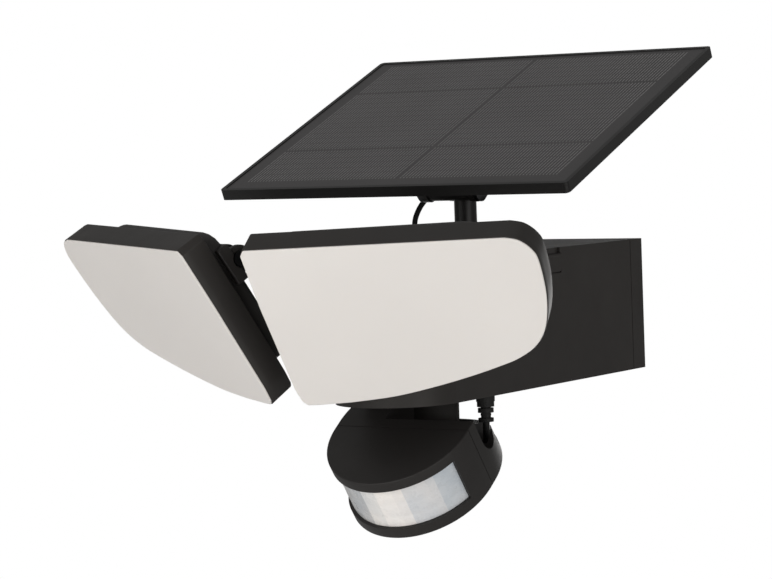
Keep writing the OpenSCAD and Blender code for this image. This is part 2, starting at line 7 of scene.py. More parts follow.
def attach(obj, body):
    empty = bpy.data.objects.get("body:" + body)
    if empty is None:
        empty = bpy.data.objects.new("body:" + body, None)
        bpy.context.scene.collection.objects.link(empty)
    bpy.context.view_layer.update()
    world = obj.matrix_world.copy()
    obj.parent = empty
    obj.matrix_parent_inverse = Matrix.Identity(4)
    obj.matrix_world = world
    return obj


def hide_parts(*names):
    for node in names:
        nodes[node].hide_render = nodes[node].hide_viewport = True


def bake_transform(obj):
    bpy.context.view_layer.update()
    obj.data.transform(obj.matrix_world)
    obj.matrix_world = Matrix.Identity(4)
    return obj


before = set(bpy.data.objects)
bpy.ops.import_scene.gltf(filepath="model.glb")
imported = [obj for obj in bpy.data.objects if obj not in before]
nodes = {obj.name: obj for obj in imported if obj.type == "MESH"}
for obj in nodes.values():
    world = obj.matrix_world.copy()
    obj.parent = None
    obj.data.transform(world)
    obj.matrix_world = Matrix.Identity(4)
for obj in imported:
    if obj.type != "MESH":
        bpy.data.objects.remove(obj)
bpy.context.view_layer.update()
scene = bpy.context.scene
scene.view_settings.view_transform = "Standard"
scene.view_settings.look = "None"
MM = 0.001


# ---------------------------------------------------------------- camera
CAMERA_AT = (0.8323, -1.4781, 0.1097)


def make_camera():
    """the view from the right front, slightly from above, with the horizon a little turned"""
    azimuth, elevation, roll = math.radians(33.5), math.radians(3.3), math.radians(2.1)
    right = Vector((math.cos(azimuth), math.sin(azimuth), 0))
    up = Vector((-math.sin(azimuth) * math.sin(elevation), math.cos(azimuth) * math.sin(elevation),
                 math.cos(elevation)))
    ahead = up.cross(right)
    r2 = right * math.cos(roll) - up * math.sin(roll)
    u2 = right * math.sin(roll) + up * math.cos(roll)
    data = bpy.data.cameras.new("camera")
    data.sensor_width = 36
    data.lens = 132.9
    data.clip_end = 20
    cam = bpy.data.objects.new("camera", data)
    scene.collection.objects.link(cam)
    rows = [(r2[i], u2[i], -ahead[i], p) for i, p in enumerate(CAMERA_AT)]
    cam.matrix_world = Matrix((*rows, (0, 0, 0, 1)))
    scene.camera = cam


make_camera()


# ---------------------------------------------------------------- materials
def new_material(name):
    """a node material, with its tree and its Principled shader"""
    m = bpy.data.materials.new(name)
    m.use_nodes = True
    t = m.node_tree
    return m, t, t.nodes["Principled BSDF"]


def coords(t):
    c = t.nodes.new("ShaderNodeTexCoord")
    return c.outputs["Object"]


def noise(t, vector, scale, detail=2.0, rough=0.5):
    n = t.nodes.new("ShaderNodeTexNoise")
    n.inputs["Scale"].default_value = scale
    n.inputs["Detail"].default_value = detail
    n.inputs["Roughness"].default_value = rough
    t.links.new(vector, n.inputs["Vector"])
    return n.outputs["Fac"]


def ramp(t, fac, low, high, a, b):
    """colour a up to low, colour b from high"""
    r = t.nodes.new("ShaderNodeValToRGB")
    r.color_ramp.elements[0].position = low
    r.color_ramp.elements[1].position = high
    r.color_ramp.elements[0].color = (*a, 1)
    r.color_ramp.elements[1].color = (*b, 1)
    t.links.new(fac, r.inputs["Fac"])
    return r.outputs["Color"]


def spread(t, fac, low, high):
    """0 to 1 becomes low to high"""
    r = t.nodes.new("ShaderNodeMapRange")
    r.inputs["To Min"].default_value = low
    r.inputs["To Max"].default_value = high
    t.links.new(fac, r.inputs["Value"])
    return r.outputs["Result"]


def spread_from(t, value, low, high):
    """low to high becomes 0 to 1"""
    r = t.nodes.new("ShaderNodeMapRange")
    r.inputs["From Min"].default_value = low
    r.inputs["From Max"].default_value = high
    t.links.new(value, r.inputs["Value"])
    return r.outputs["Result"]


def bump(t, height, distance, strength=1.0, normal=None):
    b = t.nodes.new("ShaderNodeBump")
    b.inputs["Distance"].default_value = distance
    b.inputs["Strength"].default_value = strength
    t.links.new(height, b.inputs["Height"])
    if normal is not None:
        t.links.new(normal, b.inputs["Normal"])
    return b.outputs["Normal"]


def plastic(name, colour, rough=0.5, grain=900, depth=0.00004, specular=0.3, mottle=0.12):
    """moulded plastic: a fine sparked grain, a slow drift of tone and of gloss"""
    m, t, b = new_material(name)
    v = coords(t)
    lo = tuple(c * (1 - mottle) for c in colour)
    hi = tuple(c * (1 + mottle) for c in colour)
    t.links.new(ramp(t, noise(t, v, 14, 4), 0.3, 0.7, lo, hi), b.inputs["Base Color"])
    t.links.new(spread(t, noise(t, v, 45, 3), rough - 0.08, rough + 0.08), b.inputs["Roughness"])
    fine = bump(t, noise(t, v, grain, 3, 0.6), depth, 0.6)
    t.links.new(bump(t, noise(t, v, 60, 2), 0.0001, 0.15, fine), b.inputs["Normal"])
    b.inputs["Specular IOR Level"].default_value = specular
    return m


def metal(name, colour, rough=0.35, lines=600):
    """turned or plated metal with fine marks"""
    m, t, b = new_material(name)
    v = coords(t)
    b.inputs["Metallic"].default_value = 1.0
    t.links.new(ramp(t, noise(t, v, 120, 3), 0.3, 0.7, tuple(c * 0.85 for c in colour), colour),
                b.inputs["Base Color"])
    t.links.new(spread(t, noise(t, v, 300, 3), rough - 0.1, rough + 0.1), b.inputs["Roughness"])
    t.links.new(bump(t, noise(t, v, lines, 2), 0.00002, 0.5), b.inputs["Normal"])
    return m


def diffuser_material():
    """milky opal sheet: even, faintly clouded, slightly soft gloss"""
    m, t, b = new_material("opal_diffuser")
    v = coords(t)
    t.links.new(ramp(t, noise(t, v, 9, 3), 0.3, 0.7, (0.655, 0.63, 0.608), (0.685, 0.66, 0.637)),
                b.inputs["Base Color"])
    t.links.new(spread(t, noise(t, v, 40, 3), 0.34, 0.44), b.inputs["Roughness"])
    t.links.new(bump(t, noise(t, v, 1200, 2), 0.00002, 0.35), b.inputs["Normal"])
    b.inputs["Subsurface Weight"].default_value = 0.25
    b.inputs["Subsurface Radius"].default_value = (0.006, 0.0055, 0.005)
    b.inputs["Specular IOR Level"].default_value = 0.3
    return m


def math_node(t, kind, a, b=0.0):
    n = t.nodes.new("ShaderNodeMath")
    n.operation = kind
    for socket, value in zip(n.inputs, (a, b)):
        if isinstance(value, (int, float)):
            socket.default_value = value
        else:
            t.links.new(value, socket)
    return n.outputs[0]


def times(t, a, b):
    return math_node(t, "MULTIPLY", a, b)


def band(t, x, low, high):
    """1 where low < x < high"""
    return times(t, math_node(t, "GREATER_THAN", x, low), math_node(t, "LESS_THAN", x, high))


def mix_colour(t, fac, a, b):
    n = t.nodes.new("ShaderNodeMix")
    n.data_type = "RGBA"
    for socket, value in ((n.inputs["Factor"], fac), (n.inputs[6], a), (n.inputs[7], b)):
        if isinstance(value, tuple):
            socket.default_value = (*value, 1)
        elif isinstance(value, float):
            socket.default_value = value
        else:
            t.links.new(value, socket)
    return n.outputs[2]


def local_coords(t, v, at, tilt):
    """x, y and the whole vector in the frame of a part that stands at a place, tilted about X"""
    place = t.nodes.new("ShaderNodeMapping")
    place.vector_type = "TEXTURE"
    place.inputs["Location"].default_value = at
    place.inputs["Rotation"].default_value = (tilt, 0, 0)
    t.links.new(v, place.inputs["Vector"])
    s = t.nodes.new("ShaderNodeSeparateXYZ")
    t.links.new(place.outputs["Vector"], s.inputs["Vector"])
    return s.outputs["X"], s.outputs["Y"], place.outputs["Vector"]


PANEL_AT = Vector((0, -0.1313, 0.1065))
PANEL_TILT = math.radians(22.7)


def solar_material():
    """charcoal cells with fine printed fingers, in two columns of three, behind satin glass"""
    m, t, b = new_material("solar_cells")
    v = coords(t)
    x, y, _ = local_coords(t, v, PANEL_AT, PANEL_TILT)
    ax = math_node(t, "ABSOLUTE", x)
    ay = math_node(t, "ABSOLUTE", math_node(t, "SUBTRACT", y, 0.0025))
    # cells: clear of a plain margin, of a narrow middle gap and of two cross bands
    cells = times(t, band(t, ax, 0.0004, 0.0985), band(t, ay, -1, 0.0815))
    rows = math_node(t, "SUBTRACT", 1, band(t, ay, 0.0393, 0.0417))
    cells = times(t, cells, rows)
    # printed fingers every 2 mm, broken every 7 mm by the cross print
    wave = math_node(t, "PINGPONG", x, 0.001)
    finger = math_node(t, "LESS_THAN", wave, 0.00026)
    cross = math_node(t, "PINGPONG", y, 0.0035)
    cross = math_node(t, "GREATER_THAN", cross, 0.00022)
    finger = times(t, times(t, finger, cells), cross)
    body = ramp(t, noise(t, v, 11, 4), 0.3, 0.7, (0.030, 0.0278, 0.0286), (0.036, 0.0335, 0.0345))
    dark = ramp(t, noise(t, v, 16, 4), 0.3, 0.7, (0.020, 0.0188, 0.0194), (0.026, 0.0245, 0.0252))
    base = mix_colour(t, cells, body, dark)
    t.links.new(mix_colour(t, finger, base, (0.235, 0.225, 0.228)), b.inputs["Base Color"])
    t.links.new(spread(t, noise(t, v, 25, 3), 0.30, 0.42), b.inputs["Roughness"])
    low = bump(t, finger, 0.00003, 0.5)
    t.links.new(bump(t, noise(t, v, 700, 2), 0.00002, 0.25, low), b.inputs["Normal"])
    b.inputs["Specular IOR Level"].default_value = 0.35
    return m


M = {
    "housing": plastic("housing_grain", (0.0235, 0.0212, 0.0198), 0.52, 850, 0.00005, 0.22),
    "head": plastic("head_grain", (0.0235, 0.0212, 0.0198), 0.48, 900, 0.00004, 0.26),
    "bezel": plastic("bezel_grain", (0.021, 0.019, 0.018), 0.42, 1000, 0.00003, 0.3),
    "drum": plastic("drum_grain", (0.019, 0.0175, 0.0168), 0.5, 900, 0.00004, 0.24),
    "frame": plastic("frame_satin", (0.008, 0.0076, 0.0075), 0.36, 1200, 0.00002, 0.3),
    "rubber": plastic("rubber_matt", (0.011, 0.011, 0.011), 0.62, 700, 0.00004, 0.2),
    "pole": plastic("powder_coat", (0.0105, 0.0098, 0.0094), 0.42, 1100, 0.00005, 0.25),
    "black": plastic("black_holder", (0.014, 0.014, 0.015), 0.45, 600, 0.00004, 0.3),
    "board": plastic("solder_mask", (0.015, 0.105, 0.05), 0.35, 400, 0.00003, 0.5),
    "wrap": plastic("cell_wrap", (0.04, 0.13, 0.32), 0.25, 300, 0.00002, 0.5),
    "white": plastic("white_board", (0.72, 0.72, 0.7), 0.4, 500, 0.00003, 0.4, 0.04),
    "phosphor": plastic("phosphor", (0.83, 0.7, 0.2), 0.3, 900, 0.00002, 0.5, 0.06),
    "steel": metal("zinc_plate", (0.55, 0.55, 0.56), 0.35),
    "dark_steel": metal("black_oxide", (0.045, 0.045, 0.047), 0.4),
    "opal": diffuser_material(),
    "solar": solar_material(),
}


# ---------------------------------------------------------------- mesh helpers
def link(name, mesh, material, body=None):
    """a mesh as a named piece with one material, riding on a body unless it is blended or staged"""
    o = bpy.data.objects.new(name, mesh)
    scene.collection.objects.link(o)
    mesh.materials.clear()
    mesh.materials.append(material)
    if body:
        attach(o, body)
    return o


def finish_mesh(bm, name, angle=32):
    """a bmesh as a mesh, smooth but for the edges sharper than the angle"""
    bmesh.ops.recalc_face_normals(bm, faces=bm.faces)
    mesh = bpy.data.meshes.new(name)
    bm.to_mesh(mesh)
    bm.free()
    mesh.shade_smooth()
    mesh.set_sharp_from_angle(angle=math.radians(angle))
    return mesh


def loft(loops):
    """a capped skin through loops of equal length, in millimetres"""
    bm = bmesh.new()
    rows = [[bm.verts.new(Vector(p)) for p in loop] for loop in loops]
    n = len(rows[0])
    for a, b in zip(rows, rows[1:]):
        for i in range(n):
            j = (i + 1) % n
            bm.faces.new((a[i], a[j], b[j], b[i]))
    bm.faces.new(rows[0][::-1])
    bm.faces.new(rows[-1])
    return bm


def baked(bm):
    """a bmesh as a passing object, for a boolean"""
    bmesh.ops.recalc_face_normals(bm, faces=bm.faces)
    mesh = bpy.data.meshes.new("work")
    bm.to_mesh(mesh)
    bm.free()
    o = bpy.data.objects.new("work", mesh)
    scene.collection.objects.link(o)
    return o


def combine(base, tools):
    """base, a bmesh, with tools [(operation, bmesh)] applied in turn; returns a bmesh"""
    o = baked(base)
    made = [o]
    for i, (kind, tool) in enumerate(tools):
        c = baked(tool)
        made.append(c)
        mod = o.modifiers.new(f"b{i}", "BOOLEAN")
        mod.operation = kind
        mod.solver = "EXACT"
        mod.object = c
    bpy.context.view_layer.update()
    e = o.evaluated_get(bpy.context.evaluated_depsgraph_get())
    out = bmesh.new()
    out.from_mesh(e.to_mesh())
    e.to_mesh_clear()
    for x in made:
        mesh = x.data
        bpy.data.objects.remove(x)
        bpy.data.meshes.remove(mesh)
    return out


def cut(*tools):
    return [("DIFFERENCE", tool) for tool in tools]


def joined(*tools):
    return [("UNION", tool) for tool in tools]


def block(low, high):
    """a box from its low corner to its high corner"""
    bm = bmesh.new()
    bmesh.ops.create_cube(bm, size=1)
    size = Vector(high) - Vector(low)
    for v in bm.verts:
        v.co = Vector(low) + Vector((v.co[i] + 0.5) * size[i] for i in range(3))
    return bm


# ---------------------------------------------------------------- outlines
def catmull(points, steps):
    """a smooth curve through the points"""
    pts = [Vector(p) for p in points]
    pts = [pts[0], *pts, pts[-1]]
    out = []
    for a, b, c, d in zip(pts, pts[1:], pts[2:], pts[3:]):
        for k in range(steps):
            t = k / steps
            out.append(0.5 * (2 * b + (c - a) * t + (2 * a - 5 * b + 4 * c - d) * t * t
                              + (3 * b - a - 3 * c + d) * t * t * t))
    out.append(pts[-2])
    return out


# the outlines of a lamp case and of the hump behind it, as x and z from the inner top corner
LAMP = [(-0.8, -3), (1, 0)]
LAMP += [tuple(p) for p in catmull([
    (133, 4.3), (139.5, 2.6), (144.8, -2.6), (147.2, -10), (147.3, -30), (143.9, -48), (137.6, -59.5),
    (128, -67.3), (117.3, -72.4), (100.9, -78.8), (81.6, -85.2), (59.2, -91.3), (35.8, -95)], 5)]
LAMP += [(18, -96.6), (12.5, -96.8), (10.2, -94.5), (7.9, -86.7), (4.7, -60), (1.7, -35)]
HUMP = [
    (7, -18), (7.6, -13), (9.6, -9), (13, -6.2), (18, -4.8), (108, -1.2), (115, -2.4), (119, -6),
    (121.5, -13), (121, -36), (116, -50), (106, -60), (88, -67.5), (60, -75.5), (30, -80.6),
    (17, -81.4), (13, -80.5), (11.8, -76), (9, -45),
]


def grown(poly, d):
    """a convex clockwise outline moved out by d, or in where d is negative"""
    out = [(-300, -300), (-300, 300), (300, 300), (300, -300)]
    for (ax, ay), (bx, by) in zip(poly, poly[1:] + poly[:1]):
        ex, ey = bx - ax, by - ay
        size = math.hypot(ex, ey)
        nx, ny = -ey / size, ex / size
        reach = nx * ax + ny * ay + d
        kept = []
        for (px, py), (qx, qy) in zip(out, out[1:] + out[:1]):
            p, q = nx * px + ny * py - reach, nx * qx + ny * qy - reach
            if p <= 0:
                kept.append((px, py))
            if (p < 0 < q) or (q < 0 < p):
                f = p / (p - q)
                kept.append((px + f * (qx - px), py + f * (qy - py)))
        out = kept
    return out


def filleted(poly, r, steps=5):
    """an outline with its corners rounded"""
    out = []
    n = len(poly)
    for i in range(n):
        p = Vector(poly[i])
        a, b = Vector(poly[i - 1]) - p, Vector(poly[(i + 1) % n]) - p
        la, lb = a.length, b.length
        if la < 1e-6 or lb < 1e-6:
            continue
        a, b = a / la, b / lb
        turn = math.pi - a.angle(b)
        reach = min(r * math.tan(turn / 2), 0.48 * la, 0.48 * lb)
        s, e = p + a * reach, p + b * reach
        for k in range(steps + 1):
            f = k / steps
            out.append(tuple(s * (1 - f) ** 2 + p * 2 * f * (1 - f) + e * f * f))
    return out


def cast(poly, centre, angles):
    """where the rays from the centre meet the outline, so that every loop has the same count"""
    out = []
    cx, cy = centre
    pts = [(x - cx, y - cy) for x, y in poly]
    for a in angles:
        dx, dy = math.cos(a), math.sin(a)
        best = 0
        for (px, py), (qx, qy) in zip(pts, pts[1:] + pts[:1]):
            ex, ey = qx - px, qy - py
            det = dx * ey - dy * ex
            if abs(det) < 1e-12:
                continue
            s = (px * ey - py * ex) / det
            f = (px * dy - py * dx) / det
            if s > best and -1e-9 <= f <= 1 + 1e-9:
                best = s
        out.append((cx + dx * best, cy + dy * best))
    return out


def spaced_angles(poly, centre, step, corners):
    """directions from the centre that meet the outline every step, and closer at its corners"""
    out = []
    for (ax, ay), (bx, by) in zip(poly, poly[1:] + poly[:1]):
        n = max(1, round(math.hypot(bx - ax, by - ay) / step))
        for k in range(n):
            f = k / n
            out.append(math.atan2(ay + f * (by - ay) - centre[1], ax + f * (bx - ax) - centre[0]))
    for x, y in corners:
        a = math.atan2(y - centre[1], x - centre[0])
        out.extend(a + math.radians(k * 0.25) for k in range(-14, 15))
    out = sorted((a + math.pi) % (2 * math.pi) - math.pi for a in out)
    kept = [out[0]]
    for a in out[1:]:
        if a - kept[-1] > math.radians(0.1):
            kept.append(a)
    return kept


LAMP_AT, HUMP_AT = (74, -44), (62, -40)
LAMP_ANGLES = spaced_angles(LAMP, LAMP_AT, 3.0, [(0, -1.5), (12, -96.3)])
HUMP_ANGLES = spaced_angles(HUMP, HUMP_AT, 4.0, [(14, -81)])


def lamp_loop(depth, grow, corner=1.0):
    flat = cast(filleted(grown(LAMP, grow), corner), LAMP_AT, LAMP_ANGLES)
    return [(x, depth, z) for x, z in flat]


def hump_loop(depth, grow, corner=2.5):
    flat = cast(filleted(grown(HUMP, grow), corner), HUMP_AT, HUMP_ANGLES)
    return [(x, depth, z) for x, z in flat]


# where the arm swings, the step from there to the tilt pin, and the tilt pin in the head's own frame
SWING_AT = (12.8, -310, 0)
TILT_STEP = (0, -19, 45.8)
TILT_PIN = Vector((14.5, 27, -25))
HEAD_TILT = math.radians(34)
HEAD_SWING = {1: math.radians(15.6), -1: math.radians(27.4)}


def head_matrix(side):
    """from a head's own frame, in millimetres, to its place at rest; side is 1 (right) or -1 (left)"""
    swing = Matrix.Translation(SWING_AT) @ Matrix.Rotation(HEAD_SWING[side], 4, "Z")
    tilt = Matrix.Translation(TILT_STEP) @ Matrix.Rotation(HEAD_TILT, 4, "X")
    return (Matrix.Diagonal((MM, MM, MM, 1)) @ Matrix.Diagonal((side, 1, 1, 1))
            @ swing @ tilt @ Matrix.Translation(-TILT_PIN))


# ---------------------------------------------------------------- lamp heads
def diffuser_mesh(side):
    """an opal front: a flange with a rounded rim and a plug that sits in the case"""
    profile = [(2.2, -20), (2.2, -2.9), (2.0, -2.65), (0.0, -2.65), (0.0, 0.15), (-0.1, 0.2), (-0.5, 0.2),
               (-0.68, 0.12), (-0.78, -0.06), (-0.8, -0.3), (-0.8, -1.2), (-0.8, -20)]
    bm = loft([lamp_loop(y, g, 1.3) for y, g in profile])
    bm.transform(head_matrix(side))
    return finish_mesh(bm, "diffuser", 50)


def lamp_stack(profile):
    return loft([lamp_loop(y, g) for y, g in profile])


def hump_stack(profile):
    return loft([hump_loop(y, g) for y, g in profile])


def tilt_rod(x, r, length):
    """a cylinder on the tilt axis, centred at x"""
    return rod((x, TILT_PIN.y, TILT_PIN.z), r, length)


def shell_mesh(side):
    """a lamp case: a tray, the hump behind it and the hinge block with two lugs, all hollow"""
    tray = lamp_stack(((0.15, -0.6), (0.0, -0.5), (0.0, 0.4), (0.08, 0.54), (0.25, 0.6), (4.0, 0.45),
                       (9.0, 0.28), (13.4, 0.13), (13.85, 0.02), (14.15, -0.18), (14.3, -0.5)))
    hump = hump_stack(((13.6, 0.0), (19.4, 0.0), (20.6, -0.1), (21.8, -0.4), (22.9, -0.95), (23.7, -1.65),
                       (24.2, -2.4), (24.45, -3.2), (24.5, -4.2)))
    hinge_block = block((4, 18.3, -35), (23.4, 25, -14))
    bmesh.ops.bevel(hinge_block, geom=list(hinge_block.edges), offset=0.8, segments=3, affect="EDGES",
                    profile=0.5)
    hollow = lamp_stack(((-1, -0.62), (3, -0.62), (3, -1.9), (12.2, -2.2)))
    # the hump's hollow stops short of the hinge block, which stays solid
    hollow_back = combine(hump_stack(((11.9, -2.2), (19, -2.2), (22.3, -4.4))),
                          cut(block((4, 15, -37), (25, 26, -12))))
    knuckle_room, bore = tilt_rod(TILT_PIN.x, 5.9, 10.8), tilt_rod(TILT_PIN.x, 2.52, 24)
    pin_ends = tilt_rod(3.275, 4.6, 4.55), tilt_rod(25.45, 4.6, 4)
    bm = combine(tray, joined(hump, hinge_block, lug(5.6, 9.1), lug(19.9, 23.4))
                 + cut(hollow, hollow_back, knuckle_room, bore, *pin_ends))
    bm.transform(head_matrix(side))
    return finish_mesh(bm, "shell", 40)


def rod(centre, r, length, n=64):
    """a cylinder along X, centred"""
    bm = bmesh.new()
    bmesh.ops.create_cone(bm, cap_ends=True, segments=n, radius1=r, radius2=r, depth=length)
    bm.transform(Matrix.Translation(centre) @ Matrix.Rotation(math.pi / 2, 4, "Y"))
    return bm


def lug(x0, x1):
    """an ear with a round end about the tilt axis, its edges slightly broken"""
    cy, cz, r, steps = TILT_PIN.y, TILT_PIN.z, 7, 24
    pts = [(18.3, cz - r), (18.3, cz + r)]
    for k in range(steps + 1):
        a = math.radians(90 - 180 * k / steps)
        pts.append((cy + r * math.cos(a), cz + r * math.sin(a)))
    return loft([[(x, cy + (y - cy) * f, cz + (z - cz) * f) for y, z in pts]
                 for x, f in ((x0, 0.96), (x0 + 0.3, 1), (x1 - 0.3, 1), (x1, 0.96))])


for side, word in ((1, "right"), (-1, "left")):
    body = f"{word}_head"
    piece = link(f"{word}_head_diffuser", diffuser_mesh(side), M["opal"], body)
    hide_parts(f"{word}_diffuser")
    piece = link(f"{word}_head_shell", shell_mesh(side), M["head"], body)
    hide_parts(f"{word}_shell")


# ---------------------------------------------------------------- leads
def tube(points, r, sides=20):
    """a round tube through points in metres, with the frame carried along it"""
    pts = [Vector(p) for p in points]
    n = len(pts)
    heading = [(pts[min(n - 1, i + 1)] - pts[max(0, i - 1)]).normalized() for i in range(n)]
    side = heading[0].cross(Vector((1, 0, 0))).normalized()
    bm = bmesh.new()
    rows = []
    for p, h in zip(pts, heading):
        side = (side - h * side.dot(h)).normalized()
        up = h.cross(side)
        rows.append([bm.verts.new(p + r * (math.cos(a) * side + math.sin(a) * up))
                     for a in (2 * math.pi * k / sides for k in range(sides))])
    for a, b in zip(rows, rows[1:]):
        for i in range(sides):
            j = (i + 1) % sides
            bm.faces.new((a[i], a[j], b[j], b[i]))
    bm.faces.new(rows[0][::-1])
    bm.faces.new(rows[-1])
    return bm


def length(points):
    return sum((b - a).length for a, b in zip(points, points[1:]))


PANEL_LEAD = [(-25, -127, 102), (-25, -123.5, 92), (-22.5, -128, 82), (-20.5, -138, 73),
              (-24, -147, 63.5), (-25, -151.5, 55), (-22, -153, 48), (-20, -152, 41)]
SENSOR_LEAD = [(29.5, -172, -31), (29.5, -172, -40), (29.5, -172, -50), (29.5, -172, -57),
               (29.5, -172.3, -63), (29.5, -173.2, -69.5)]
PANEL_LEAD_D = 0.003
SENSOR_LEAD_D = 0.0038

line = [p * MM for p in catmull(PANEL_LEAD, 8)]
lead = link("panel_flex", finish_mesh(tube(line, PANEL_LEAD_D / 2), "panel_flex"), M["rubber"])
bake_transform(lead)
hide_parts("panel_lead")

line = [p * MM for p in catmull(SENSOR_LEAD, 8)]
lead = link("sensor_flex", finish_mesh(tube(line, SENSOR_LEAD_D / 2), "sensor_flex"), M["rubber"])
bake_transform(lead)
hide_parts("sensor_lead")


# ---------------------------------------------------------------- sensor window
# the drum in its own frame: a top face at z = 0, its seam at y = 0, tilted towards the ground
DRUM_AT = Vector((0, -210.7, -52))
DRUM_TILT = math.radians(36)
DRUM_RADIUS = 42.0
DRUM_HEIGHT = 39.6
HOLLOW_RADIUS = 38.4
FRONT_ARC = -2
REAR_ARC = 3.8
WINDOW_HALF = 68.6
WINDOW_LOW, WINDOW_HIGH = -32.7, -6.3


def drum_matrix():
    return (Matrix.Diagonal((MM, MM, MM, 1)) @ Matrix.Translation(DRUM_AT)
            @ Matrix.Rotation(DRUM_TILT, 4, "X"))


def window_material():
    """pressed lens film: upright zones whose tones are painted light and shade, fine curved grooves, a
    milky sheen
    """
    m, t, b = new_material("lens_film_painted_light")
    v = coords(t)
    x, y, inner = local_coords(t, v, DRUM_AT * MM, DRUM_TILT)
    across = math_node(t, "ARCTAN2", x, times(t, y, -1))
    # painted light and shade: lighter, creamier zones in the middle and darker, greyer zones towards the
    # ends paint how brightly each facet is lit, and part of them is painted reflection
    zone = t.nodes.new("ShaderNodeValToRGB")
    zone.color_ramp.interpolation = "CONSTANT"
    stops = [(0.0, (0.36, 0.36, 0.36)), (0.16, (0.30, 0.31, 0.32)), (0.30, (0.38, 0.39, 0.40)),
             (0.405, (0.74, 0.73, 0.71)), (0.50, (0.90, 0.86, 0.82)), (0.60, (0.84, 0.80, 0.77)),
             (0.66, (0.62, 0.63, 0.65)), (0.84, (0.47, 0.52, 0.57))]
    elements = zone.color_ramp.elements
    elements.remove(elements[1])
    elements[0].color = (*stops[0][1], 1)
    for place, colour in stops[1:]:
        elements.new(place).color = (*colour, 1)
    t.links.new(spread_from(t, across, -1.2, 1.2), zone.inputs["Fac"])
    soft = ramp(t, noise(t, v, 60, 3), 0.3, 0.75, (0.42, 0.47, 0.52), (0.80, 0.74, 0.69))
    t.links.new(mix_colour(t, 0.35, zone.outputs["Color"], soft), b.inputs["Base Color"])
    groove = t.nodes.new("ShaderNodeTexWave")
    groove.wave_type = "RINGS"
    groove.rings_direction = "SPHERICAL"
    groove.inputs["Scale"].default_value = 330
    groove.inputs["Distortion"].default_value = 0.6
    t.links.new(inner, groove.inputs["Vector"])
    t.links.new(bump(t, groove.outputs["Fac"], 0.00004, 0.35), b.inputs["Normal"])
    t.links.new(spread(t, noise(t, v, 200, 2), 0.22, 0.34), b.inputs["Roughness"])
    b.inputs["Subsurface Weight"].default_value = 0.2
    b.inputs["Subsurface Radius"].default_value = (0.003, 0.003, 0.003)
    return m


def swell(edges, value):
    """0 at each edge and 1 midway between two of them"""
    for low, high in zip(edges, edges[1:]):
        if low <= value <= high:
            return math.sin(math.pi * (value - low) / (high - low)) ** 0.6
    return 0.0


def arc_point(a, r, z):
    """a point of the drum's front, a degrees from its middle"""
    return (r * math.sin(math.radians(a)), -r * math.cos(math.radians(a)), z)


def window_mesh():
    """a curved film, each zone very slightly swollen between its ribs"""
    columns = [-WINDOW_HALF, -48, -30, -13.5, 13.5, 30, 48, WINDOW_HALF]
    rows = [WINDOW_LOW, -26.0, -17.0, WINDOW_HIGH]
    rib_radius, rise, back_radius = 39.95, 0.25, 38.6
    across, up = 140, 36
    angles = [-WINDOW_HALF + 2 * WINDOW_HALF * k / across for k in range(across + 1)]
    heights = [WINDOW_LOW + (WINDOW_HIGH - WINDOW_LOW) * k / up for k in range(up + 1)]
    bm = bmesh.new()
    front = [[bm.verts.new(arc_point(a, rib_radius + rise * swell(columns, a) * swell(rows, z), z))
              for a in angles] for z in heights]
    back = [[bm.verts.new(arc_point(a, back_radius, z)) for a in angles] for z in heights]
    for grid in (front, back):
        for r0, r1 in zip(grid, grid[1:]):
            for i in range(across):
                bm.faces.new((r0[i], r0[i + 1], r1[i + 1], r1[i]))

    def rim(grid):
        return grid[0] + [r[-1] for r in grid[1:-1]] + grid[-1][::-1] + [r[0] for r in grid[-2:0:-1]]

    rim_front, rim_back = rim(front), rim(back)
    n = len(rim_front)
    for i in range(n):
        j = (i + 1) % n
        bm.faces.new((rim_front[j], rim_front[i], rim_back[i], rim_back[j]))
    bm.transform(drum_matrix() @ Matrix.Translation((0, FRONT_ARC, 0)))
    return finish_mesh(bm, "window", 50)


piece = link("sensor_lens", window_mesh(), window_material(), "sensor_body")
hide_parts("sensor_window")


# ---------------------------------------------------------------- sensor drum
def turned(profile, centre=(0, 0), n=160):
    """a closed solid of revolution about the drum's axis, from a (radius, height) profile"""
    cx, cy = centre
    return loft([[(cx + r * math.cos(2 * math.pi * k / n), cy + r * math.sin(2 * math.pi * k / n), z)
                  for k in range(n)] for r, z in profile])


def drum_half(centre, seam, side, n=80):
    """half of the drum: a half-round about y = centre, with straight cheeks up to the seam"""
    low = -DRUM_HEIGHT
    rows = []
    for f, z in ((0.9, low), (0.45, low + 0.1), (0.1, low + 0.45), (0.0, low + 0.9), (0.0, -0.7),
                 (0.09, -0.3), (0.3, -0.09), (0.7, 0.0)):
        r = DRUM_RADIUS - f
        arc = [(r * math.cos(math.pi * k / n), centre + side * r * math.sin(math.pi * k / n), z)
               for k in range(n + 1)]
        rows.append([(r, seam, z)] + arc + [(-r, seam, z)])
    return loft(rows)


def wedge(angle, low, high, reach=60):
    """the space in front of the drum's axis, angle degrees to each side"""
    s, c = math.sin(math.radians(angle)), math.cos(math.radians(angle))
    plan = [(0, 0), (-reach * s, -reach * c), (-reach, -reach), (reach, -reach), (reach * s, -reach * c)]
    return loft([[(x, y, z) for x, y in plan] for z in (low, high)])


def drum_front_mesh():
    """the front shell, with the window's opening and the inner ring that fills the seam"""
    core = turned([(40.9, -39), (41.3, -38.6), (41.3, -1), (40.9, -0.6)])
    core = combine(core, cut(block((-50, 0, -50), (50, 50, 5)), block((-50, -50, -50), (50, -5, 5))))
    hollow = turned([(HOLLOW_RADIUS, -37.4), (HOLLOW_RADIUS, -2.2)], (0, FRONT_ARC))
    opening = wedge(WINDOW_HALF, WINDOW_LOW - 0.1, WINDOW_HIGH + 0.1)
    opening.transform(Matrix.Translation((0, FRONT_ARC, 0)))
    opening = combine(opening, cut(turned([(20, -40), (20, 2)], (0, FRONT_ARC))))
    bm = combine(drum_half(FRONT_ARC, -0.2, -1), joined(core) + cut(hollow, opening))
    bm.transform(drum_matrix())
    return finish_mesh(bm, "drum_front", 35)


